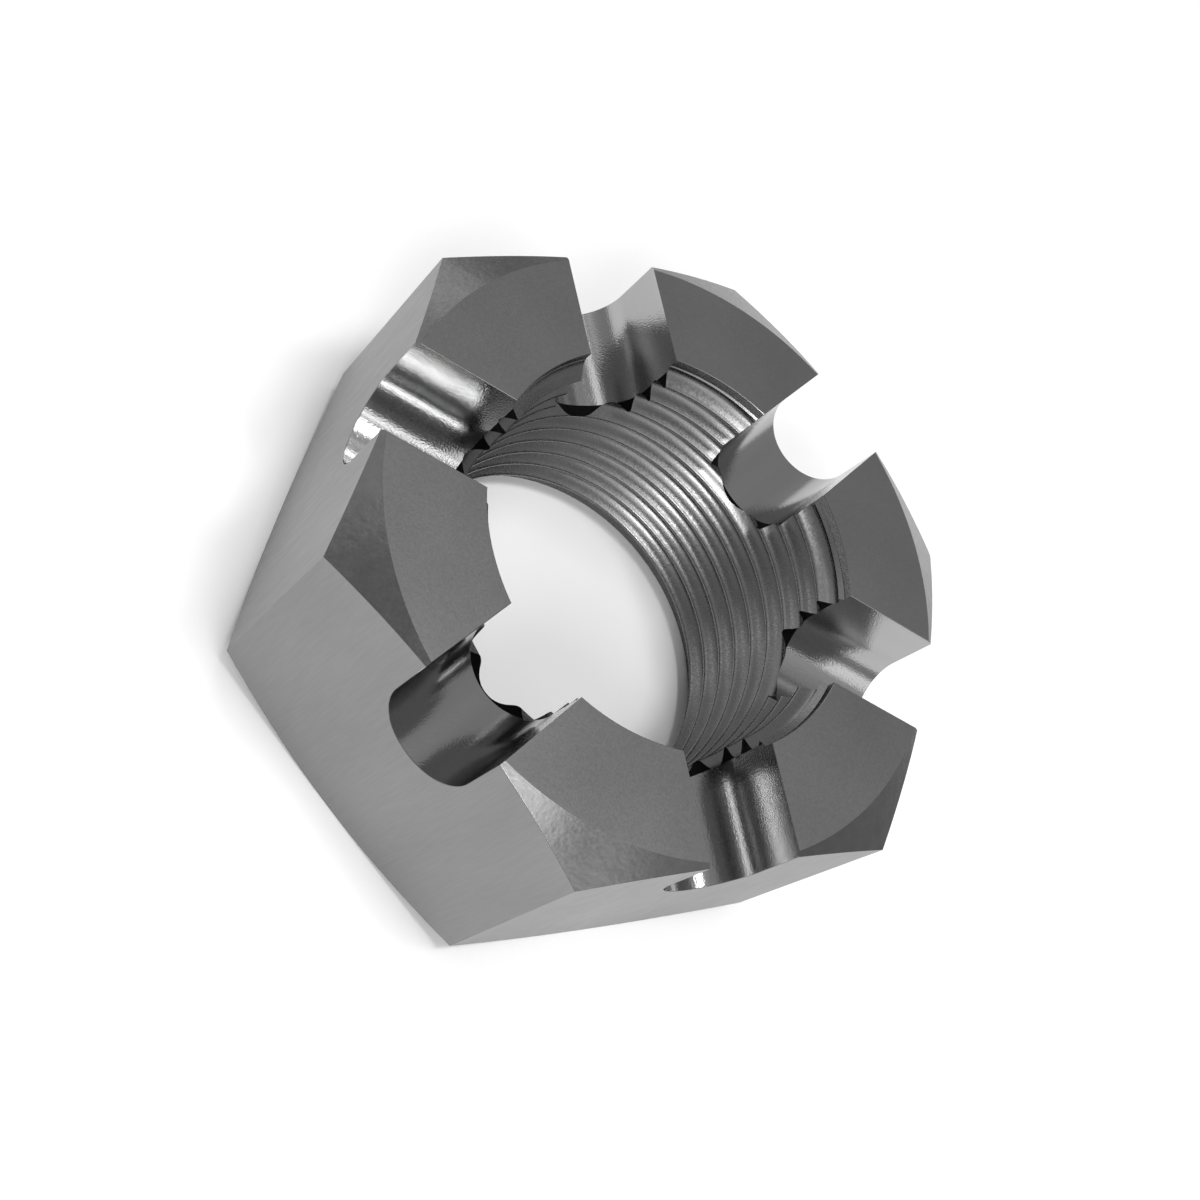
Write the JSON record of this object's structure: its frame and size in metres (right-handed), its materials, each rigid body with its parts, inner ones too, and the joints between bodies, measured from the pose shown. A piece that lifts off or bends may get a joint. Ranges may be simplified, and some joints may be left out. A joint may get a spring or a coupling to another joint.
{
  "type": "castle nut",
  "caption": "Hexagon castle nut with a round-bottomed slot across each flat for a cotter pin, chamfered ends and a threaded through bore.",
  "frame": {"origin": "centre of the flat bearing face, on the bore's axis", "axes": "+Z along the bore's axis towards the slotted end; +X through the middle of a flat and its slot; +Y through a corner of the hexagon"},
  "size_m": [0.0382, 0.044, 0.0183],
  "materials": {
    "steel": "plain machined steel, uncoated, satin, with brighter milled slots"
  },
  "bodies": {
    "root": {"castle_nut": "steel"}
  },
  "joints": []
}
